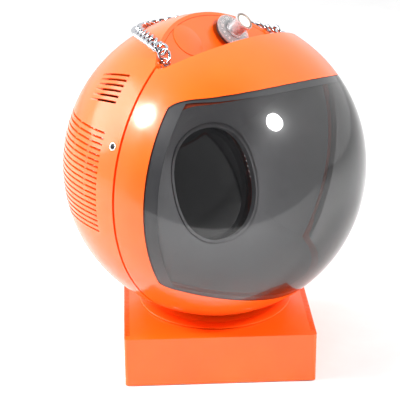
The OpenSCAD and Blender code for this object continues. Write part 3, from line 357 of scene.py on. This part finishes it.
def only(thing):
    """Selects one object and nothing else, and makes it the active one."""
    bpy.ops.object.select_all(action="DESELECT")
    thing.select_set(True)
    bpy.context.view_layer.objects.active = thing


def merged_copy(node, name):
    """A copy of a CAD node, with its loose triangles welded into one mesh."""
    copy = NODES[node].copy()
    copy.data = NODES[node].data.copy()
    for key in [k for k in copy.keys() if k.startswith("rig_")]:
        del copy[key]
    copy.name = name
    bpy.context.collection.objects.link(copy)
    copy.parent = None
    copy.matrix_world = Matrix.Identity(4)
    only(copy)
    bpy.ops.object.mode_set(mode="EDIT")
    bpy.ops.mesh.select_all(action="SELECT")
    bpy.ops.mesh.remove_doubles(threshold=WELD)
    bpy.ops.object.mode_set(mode="OBJECT")
    return copy


def island_middles(node):
    """The middles of the boxes round a node's separate bodies."""
    merged_copy(node, "measure")
    bpy.ops.object.mode_set(mode="EDIT")
    bpy.ops.mesh.separate(type="LOOSE")
    bpy.ops.object.mode_set(mode="OBJECT")
    middles = []
    for piece in list(bpy.context.selected_objects):
        points = [v.co for v in piece.data.vertices]
        low = Vector([min(p[i] for p in points) for i in range(3)])
        high = Vector([max(p[i] for p in points) for i in range(3)])
        middles.append((low + high) / 2)
        bpy.data.objects.remove(piece)
    return middles


links_at = island_middles("carry_chain")
rings_at = island_middles("chain_end_links")
cups_at = island_middles("screw_cups")
print("links", len(links_at), "rings", len(rings_at), "cups", len(cups_at))

# %% [markdown]
# A finished piece keeps its place in its mesh, and its object stays at the origin, so that
# a pattern doesn't slide when a body turns. Three small helpers end the making of a piece.

# %% Placing, joining and dressing


def settle(piece, at, side, up, normal):
    """Moves a piece that was modelled at the origin, and bakes the place into its mesh."""
    turn = Matrix((side, up, normal)).transposed().to_4x4()
    piece.matrix_world = Matrix.Translation(at) @ turn
    only(piece)
    bpy.ops.object.transform_apply(location=True, rotation=True, scale=True)


def dress(piece, body, finish, sharp=32):
    """Gives a piece its finish, its smooth shading and its body."""
    only(piece)
    piece.data.materials.clear()
    piece.data.materials.append(finish)
    bpy.ops.object.shade_smooth_by_angle(angle=math.radians(sharp))
    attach(piece, body)
    print(piece.name, len(piece.data.polygons), "faces on", body)


def joined(pieces, name):
    """Joins pieces into the first of them."""
    bpy.ops.object.select_all(action="DESELECT")
    for piece in pieces:
        piece.select_set(True)
    bpy.context.view_layer.objects.active = pieces[0]
    bpy.ops.object.join()
    pieces[0].name = name
    return pieces[0]


print("placing, joining and dressing ready")

# %% [markdown]
# Round pieces are turned from a profile, as on a lathe. A Screw modifier could do it, but
# it leaves a seam to weld. Here a circle is added at the first radius, then its rim is
# extruded and scaled once for each step of the profile, and the last rim is filled. A piece
# with a hole through it keeps both rims open, and they are bridged.

# %% Turned pieces


def turned(name, profile, sides=64, capped=True):
    """A solid of revolution about Z from (radius, height) pairs in millimetres."""
    bpy.ops.object.select_all(action="DESELECT")
    bpy.ops.mesh.primitive_circle_add(vertices=sides, radius=profile[0][0] * MM,
                                      fill_type="NGON" if capped else "NOTHING",
                                      location=(0, 0, profile[0][1] * MM))
    piece = bpy.context.object
    piece.name = name
    bpy.ops.object.transform_apply(location=True, rotation=True, scale=True)
    bpy.ops.object.mode_set(mode="EDIT")
    bpy.ops.mesh.select_all(action="SELECT")
    bpy.ops.mesh.select_mode(type="EDGE")
    bpy.ops.mesh.select_all(action="SELECT")
    radius, height = profile[0]
    for next_radius, next_height in profile[1:]:
        rise = (0, 0, (next_height - height) * MM)
        bpy.ops.mesh.extrude_edges_move(TRANSFORM_OT_translate={"value": rise})
        bpy.ops.transform.resize(value=(next_radius / radius, next_radius / radius, 1),
                                 center_override=(0, 0, next_height * MM))
        radius, height = next_radius, next_height
    if capped:
        bpy.ops.mesh.edge_face_add()
    bpy.ops.mesh.select_mode(type="VERT")
    bpy.ops.mesh.select_all(action="SELECT")
    bpy.ops.mesh.normals_make_consistent(inside=False)
    bpy.ops.object.mode_set(mode="OBJECT")
    return piece


def turned_ring(name, profile):
    """A turned piece with a hole through it, whose two open rims are bridged."""
    piece = turned(name, profile, capped=False)
    bpy.ops.object.mode_set(mode="EDIT")
    bpy.ops.mesh.select_all(action="DESELECT")
    bpy.ops.mesh.select_non_manifold()
    bpy.ops.mesh.bridge_edge_loops()
    bpy.ops.mesh.select_all(action="SELECT")
    bpy.ops.mesh.normals_make_consistent(inside=False)
    bpy.ops.object.mode_set(mode="OBJECT")
    return piece


print("lathe ready")

# %% [markdown]
# ## Chain handle
# The handle is a curb chain: each link is an oval of round wire whose ends are twisted an
# eighth of a turn either way, which lets all the links lie flat. An array on a curve would
# stretch the links at the bends, so each one is copied to the middle of a link of the CAD
# chain instead. First the middles are put in order, from the right end to the left.

# %% Order of the links


def walk(points, start):
    """Orders points by going from each one to the nearest that is left."""
    left = sorted(points, key=lambda p: (p - start).length)
    route = [left.pop(0)]
    while left:
        left.sort(key=lambda p: (p - route[-1]).length)
        route.append(left.pop(0))
    return route


right_ring = max(rings_at, key=lambda p: p.dot(RIGHT))
left_ring = min(rings_at, key=lambda p: p.dot(RIGHT))
route = walk(links_at, right_ring)
print("links in order", len(route))

# %% [markdown]
# One link starts as a ring of wire. Its two halves are pulled apart into an oval, and a
# Simple Deform modifier twists it along its length.

# %% One curb link
LINK_WIRE = 1.5
LINK_BEND = 4.3
LINK_HALF = 1.9
LINK_TWIST = 92
MIDDLE_BAND = 0.1 * MM
bpy.ops.object.select_all(action="DESELECT")
bpy.ops.mesh.primitive_torus_add(major_radius=LINK_BEND * MM, minor_radius=LINK_WIRE * MM,
                                 major_segments=40, minor_segments=12)
link = bpy.context.object
link.name = "curb_link"
for side in (-1, 1):
    only(link)
    bpy.ops.object.mode_set(mode="EDIT")
    bpy.ops.mesh.select_all(action="DESELECT")
    bpy.ops.object.mode_set(mode="OBJECT")
    for vertex in link.data.vertices:
        vertex.select = vertex.co.x * side > MIDDLE_BAND
    bpy.ops.object.mode_set(mode="EDIT")
    bpy.ops.transform.translate(value=(side * LINK_HALF * MM, 0, 0))
    bpy.ops.object.mode_set(mode="OBJECT")
twist = link.modifiers.new("twist", "SIMPLE_DEFORM")
twist.deform_method = "TWIST"
twist.deform_axis = "X"
twist.angle = math.radians(LINK_TWIST)
only(link)
bpy.ops.object.modifier_apply(modifier="twist")
print("link", round(link.dimensions.x / MM, 1), "mm long")

# %% [markdown]
# Each copy lies along the line between its neighbours and faces away from the ball. A
# twisted link stands taller than the plain one in the CAD chain, so all but the first and
# last two sit a little lower, and the chain keeps its height.

# %% Curb chain
LINK_DROP = 0.9
copies = []
for i, middle in enumerate(route):
    before = route[i - 1] if i else right_ring
    after = route[i + 1] if i + 1 < len(route) else left_ring
    along = (after - before).normalized()
    out = (middle - BALL).normalized()
    wide = out.cross(along).normalized()
    out = along.cross(wide)
    only(link)
    bpy.ops.object.duplicate(linked=False)
    copy = bpy.context.object
    drop = LINK_DROP * MM if 1 < i < len(route) - 2 else 0
    settle(copy, middle - out * drop, along, wide, out)
    copies.append(copy)
bpy.data.objects.remove(link)
chain = joined(copies, "curb_chain")
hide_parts("carry_chain")
dress(chain, "chain_loop", FINISH["chrome"], sharp=60)

# %% [markdown]
# ## Mask behind the visor
# The mask is one smooth funnel of grey plastic. The CAD skin is made of flat facets. Smooth
# shading alone would leave them in the outline, so a merged copy is subdivided.

# %% Smooth mask
MASK_ROUNDS = 2
mask = merged_copy("screen_mask", "smooth_mask")
bpy.ops.object.mode_set(mode="EDIT")
bpy.ops.mesh.select_all(action="SELECT")
bpy.ops.mesh.tris_convert_to_quads()
bpy.ops.object.mode_set(mode="OBJECT")
soften = mask.modifiers.new("soften", "SUBSURF")
soften.levels = soften.render_levels = MASK_ROUNDS
only(mask)
bpy.ops.object.modifier_apply(modifier="soften")
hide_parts("screen_mask")
dress(mask, "set", FINISH["grey_mask"], sharp=50)

# %% [markdown]
# The visor is tinted grey through its thickness along the edge, which hides the ledge it
# sits on. An inset of its many small triangles would be uneven, so the tinted band starts
# as the outline of the visor's own inner face.

# %% Outline of the visor
FACES_IN = -0.95
band = merged_copy("visor", "visor_edge_tint")
inner_radius = min((v.co - BALL).length for v in band.data.vertices)
bpy.ops.object.mode_set(mode="EDIT")
bpy.ops.mesh.select_mode(type="FACE")
bpy.ops.mesh.select_all(action="DESELECT")
bpy.ops.object.mode_set(mode="OBJECT")
weighed = Vector()
area = 0
for face in band.data.polygons:
    face.select = face.normal.dot((face.center - BALL).normalized()) < FACES_IN
    if face.select:
        weighed += face.center * face.area
        area += face.area
bpy.ops.object.mode_set(mode="EDIT")
bpy.ops.mesh.region_to_loop()
bpy.ops.mesh.select_all(action="INVERT")
bpy.ops.mesh.delete(type="EDGE")
bpy.ops.object.mode_set(mode="OBJECT")
print("outline of", len(band.data.edges), "edges")

# %% [markdown]
# The outline is extruded and shrunk towards the middle of the visor, cast onto a sphere
# just inside the acrylic, and given a thickness.

# %% Tinted edge
TINT_INSET = 0.885
TINT_GAP = 1.2
TINT_THICK = 0.2
bpy.ops.object.mode_set(mode="EDIT")
bpy.ops.mesh.select_all(action="SELECT")
bpy.ops.mesh.extrude_edges_move()
bpy.ops.transform.resize(value=(TINT_INSET, TINT_INSET, TINT_INSET),
                         center_override=weighed / area)
bpy.ops.mesh.select_mode(type="VERT")
bpy.ops.mesh.select_all(action="SELECT")
bpy.ops.mesh.normals_make_consistent(inside=False)
bpy.ops.object.mode_set(mode="OBJECT")
bpy.ops.object.select_all(action="DESELECT")
bpy.ops.object.empty_add(location=BALL)
ball_middle = bpy.context.object
only(band)
cast = band.modifiers.new("cast", "CAST")
cast.cast_type = "SPHERE"
cast.object = ball_middle
cast.factor = 1
cast.use_radius_as_size = False
cast.size = inner_radius + TINT_GAP * MM
bpy.ops.object.modifier_apply(modifier="cast")
bpy.data.objects.remove(ball_middle)
only(band)
thick = band.modifiers.new("thick", "SOLIDIFY")
thick.thickness = TINT_THICK * MM
thick.offset = 0
bpy.ops.object.modifier_apply(modifier="thick")
# Grey dye in the back of the acrylic, which reads as a satin band
finish_edge = moulded("grey_tinted_acrylic", "#58585B", "#545457", 0.45, peel_mm=0.8)
dress(band, "set", finish_edge)

# %% [markdown]
# ## Tuning knob
# The hub is turned from clear acrylic with a flared foot and a collar. An orange core
# glows through it, and its end carries a pale button inside a grey-brown metal ring. They
# are four pieces, so that the core really shows through the acrylic round it. Each profile
# is a list of radii and heights in millimetres above the knob's joint.

# %% Hub
HUB = [(4.4, 8.7), (8.7, 8.7), (8.8, 9.1), (8.7, 9.9), (7.6, 10.6), (7.2, 11.6), (7.3, 19.6),
       (8.3, 21.0), (8.8, 21.8), (8.8, 23.6), (8.5, 24.05), (8.1, 24.1), (7.9, 23.7),
       (6.7, 23.6), (6.5, 21.8), (6.3, 12.2), (4.4, 12.0)]
BUTTON_RING = [(6.75, 23.62), (7.85, 23.72), (7.95, 23.95), (7.7, 24.06), (6.95, 24.06),
               (6.7, 23.9)]
CORE = [(5.4, 12.4), (6.1, 12.6), (6.2, 14.0), (6.3, 21.6), (5.9, 22.3)]
BUTTON = [(6.0, 22.35), (6.35, 22.4), (6.45, 23.3), (6.2, 23.6), (5.2, 23.75), (2.6, 23.85)]
# Orange polystyrene, paler where the light comes through the acrylic
finish_core = moulded("orange_polystyrene", "#F08A6A", "#E0643C", 0.3, drift_mm=6)
# Cream urea: smooth, with an even soft gloss
finish_button = moulded("cream_urea", "#F7F5EA", "#EFECDD", 0.22)
# Anodised aluminium: the film over the metal makes it browner and less of a mirror
finish_ring = metal("bronzed_aluminium", "#8F8578", 0.3, metallic=0.6)
hub = turned_ring("clear_hub", HUB)
core = turned("orange_core", CORE)
button = turned("pale_button", BUTTON)
ring = turned_ring("button_ring", BUTTON_RING)
for piece in (hub, core, button, ring):
    settle(piece, KNOB, RIGHT, KNOB_UP, KNOB_AXIS)
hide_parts("fine_hub")
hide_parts("fine_cap")
dress(hub, "fine_knob", FINISH["clear_plastic"])
dress(core, "fine_knob", finish_core)
dress(button, "fine_knob", finish_button)
dress(ring, "fine_knob", finish_ring)

# %% [markdown]
# The dial under the hub is a clear disc over a dark one. It carries plain channel numbers
# and a tick between each two. They could be painted by a texture, but thin raised print
# stays sharp from near. A number is a text object that is made a mesh before it is laid on
# the disc, because text can't keep a place in its points. A tick is a flat block.

# %% Blocks and places on the dial
PRINT_LEVEL = 8.34


def block(size_mm, at_mm=(0, 0, 0), turn=0):
    """A box of a size in millimetres, turned in degrees about Z, with its place in its mesh."""
    bpy.ops.object.select_all(action="DESELECT")
    bpy.ops.mesh.primitive_cube_add(size=1, scale=[s * MM for s in size_mm],
                                    location=[a * MM for a in at_mm],
                                    rotation=(0, 0, math.radians(turn)))
    bpy.ops.object.transform_apply(location=True, rotation=True, scale=True)
    return bpy.context.object


def lay_on_dial(mark, turn, radius_mm):
    """Lays a mark flat on the dial, with its top to the rim, at an angle in degrees."""
    angle = math.radians(turn)
    outward = RIGHT * math.cos(angle) + KNOB_UP * math.sin(angle)
    settle(mark, KNOB + (KNOB_AXIS * PRINT_LEVEL + outward * radius_mm) * MM,
           outward.cross(KNOB_AXIS), outward, KNOB_AXIS)


print("print lies", PRINT_LEVEL, "mm above the joint")

# %% Dial numbers
CHANNELS = 12
STEP = 360 / CHANNELS
TOP = 90
NUMBER_RING = 13.3
NUMBER_SIZE = 4.2
TICK_RING = 14.9
TICK = (0.4, 2.0, 0.08)
PRINT_HALF = 0.03
# White screen ink, matt and yellowed to a light grey
finish_print = moulded("white_screen_ink", "#C9C7C2", "#BFBDB8", 0.5)
marks = []
for number in range(1, CHANNELS + 1):
    bpy.ops.object.select_all(action="DESELECT")
    bpy.ops.object.text_add()
    word = bpy.context.object
    word.data.body = str(number)
    word.data.size = NUMBER_SIZE * MM
    word.data.align_x = "CENTER"
    word.data.align_y = "CENTER"
    word.data.extrude = PRINT_HALF * MM
    bpy.ops.object.convert(target="MESH")
    word = bpy.context.object
    lay_on_dial(word, TOP - STEP * number, NUMBER_RING)
    tick = block(TICK)
    lay_on_dial(tick, TOP - STEP * (number - 0.5), TICK_RING)
    marks += [word, tick]
numbers = joined(marks, "dial_numbers")
dress(numbers, "channel_knob", finish_print)

# %% [markdown]
# ## Side screws
# A bright cup at each side holds a cross-headed screw of blackened steel, which shows as a
# dark dot. The head is a low dome from the lathe, and a Boolean modifier cuts the cross
# out of it, blade by blade. An inset cross would need its own edges in the dome.

# %% Cross-headed screws
HEAD = [(1.5, 0), (2.35, 0.9), (2.4, 1.2), (2.1, 1.5), (1.4, 1.7), (0.6, 1.8)]
HEAD_SINK = 1.9
BLADE = (3.0, 0.6, 1.6)
BLADE_AT = (0, 0, 1.9)
BLADE_TURNS = (20, 110)
# Blackened steel: dark, with a weak metallic sheen
finish_screw = metal("blackened_steel", "#3C3C3F", 0.4)
heads = []
for cup in sorted(cups_at, key=lambda p: p.dot(RIGHT)):
    outward = (cup - BALL).normalized()
    across_head = outward.cross(Vector((0, 0, 1))).normalized()
    head = turned("screw_head", HEAD, sides=32)
    for turn in BLADE_TURNS:
        cutter = block(BLADE, BLADE_AT, turn)
        cut = head.modifiers.new("cross", "BOOLEAN")
        cut.operation = "DIFFERENCE"
        cut.solver = "EXACT"
        cut.object = cutter
        only(head)
        bpy.ops.object.modifier_apply(modifier="cross")
        bpy.data.objects.remove(cutter)
    settle(head, BALL + outward * (BALL_R - HEAD_SINK * MM),
           across_head, outward.cross(across_head), outward)
    heads.append(head)
screws = joined(heads, "cross_screws")
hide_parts("shell_screws")
dress(screws, "set", finish_screw)

# %% [markdown]
# ## Marks on the rear knobs
# Each small knob at the back has a white line that shows how far it is turned. It is a
# block whose edges a Bevel modifier softens, so that they catch the light as print does.

# %% Knob lines
KNOB_FACE = 9.6
LINE = (0.9, 3.6, 0.3)
LINE_OUT = 3.8
LINE_SOFT = 0.12
for body in ("volume", "brightness", "contrast"):
    at, axis = joint_place(body + "_turn")
    up = (Vector((0, 0, 1)) - axis * axis.z).normalized()
    line = block(LINE)
    line.name = body + "_line"
    soft = line.modifiers.new("soft", "BEVEL")
    soft.width = LINE_SOFT * MM
    soft.segments = 2
    bpy.ops.object.modifier_apply(modifier="soft")
    settle(line, at + (axis * KNOB_FACE + up * LINE_OUT) * MM, up.cross(axis), up, axis)
    dress(line, body, finish_print)

# %% [markdown]
# ## Floor, light and air
# The set stands on a pale floor that runs on into a pale room. The floor is a wide grid
# whose middle lies behind the set, where the camera looks. It isn't part of the set, so it
# is attached to no body.

# %% Floor
FLOOR_SIZE = 8
FLOOR_BACK = 3.52
bpy.ops.object.select_all(action="DESELECT")
bpy.ops.mesh.primitive_grid_add(x_subdivisions=40, y_subdivisions=40, size=FLOOR_SIZE,
                                location=(0, FLOOR_BACK, 0))
floor = bpy.context.object
floor.name = "floor"
bpy.ops.object.transform_apply(location=True, rotation=True, scale=True)
# Studio paper, matt and nearly even
floor_finish = moulded("studio_paper", "#E4E4E4", "#E0E0E0", 0.7, peel_mm=3)
floor.data.materials.append(floor_finish)
print("floor", FLOOR_SIZE, "m across")

# %% [markdown]
# Two round lamps high at the left and the right leave the two soft spots on the ball, and
# a wide one at the left washes the rear shell. A weak one at the front fills the shadows
# and isn't mirrored. Each row gives a lamp's place and width in metres, and its watts.

# %% Lamps
LAMPS = {
    "left_lamp": ((-1.195, -0.354, 1.215), 0.36, 34),
    "right_lamp": ((1.017, -0.722, 1.223), 0.32, 26),
    "left_panel": ((-2.0, 0.5, 1.1), 1.6, 30),
    "front_fill": ((-0.4, -2.3, 0.9), 1.4, 12),
}
for name, (at, width, power) in LAMPS.items():
    bpy.ops.object.select_all(action="DESELECT")
    bpy.ops.object.light_add(type="AREA", location=at)
    lamp = bpy.context.object
    lamp.name = name
    lamp.data.shape = "DISK"
    lamp.data.size = width
    lamp.data.energy = power
    lamp.visible_glossy = name != "front_fill"
    lamp.rotation_euler = (BALL - Vector(at)).to_track_quat("-Z", "Y").to_euler()
print("lamps", list(LAMPS))

# %% [markdown]
# The room is white all round for whatever looks straight at it. For light and mirrors it
# is dim on the side that the main view is from, or the visor would mirror a white wall and
# hide what is behind it.

# %% Air
ROOM_BRIGHT, ROOM_DIM = 1.15, 0.1
DIM_STARTS, DIM_ENDS = 0.1, 0.75
world = bpy.data.worlds.new("studio")
bpy.context.scene.world = world
world.use_nodes = True
air = world.node_tree
look = add_node(air, "ShaderNodeTexCoord")
facing = add_node(air, "ShaderNodeVectorMath", {0: (look, "Generated"), 1: -ahead},
                  operation="DOT_PRODUCT")
shade = add_node(air, "ShaderNodeMapRange",
                 {"Value": (facing, "Value"), "From Min": DIM_STARTS, "From Max": DIM_ENDS,
                  "To Min": ROOM_BRIGHT, "To Max": ROOM_DIM},
                 interpolation_type="SMOOTHSTEP")
path = add_node(air, "ShaderNodeLightPath")
seen = add_node(air, "ShaderNodeMapRange",
                {"Value": (path, "Is Camera Ray"), "To Min": (shade, "Result"), "To Max": 1.0})
sky = air.nodes["Background"]
sky.inputs["Color"].default_value = linear("#FFFFFF")
air.links.new(seen.outputs["Result"], sky.inputs["Strength"])
bpy.context.scene.view_settings.view_transform = "Standard"
print("room from", ROOM_BRIGHT, "down to", ROOM_DIM)
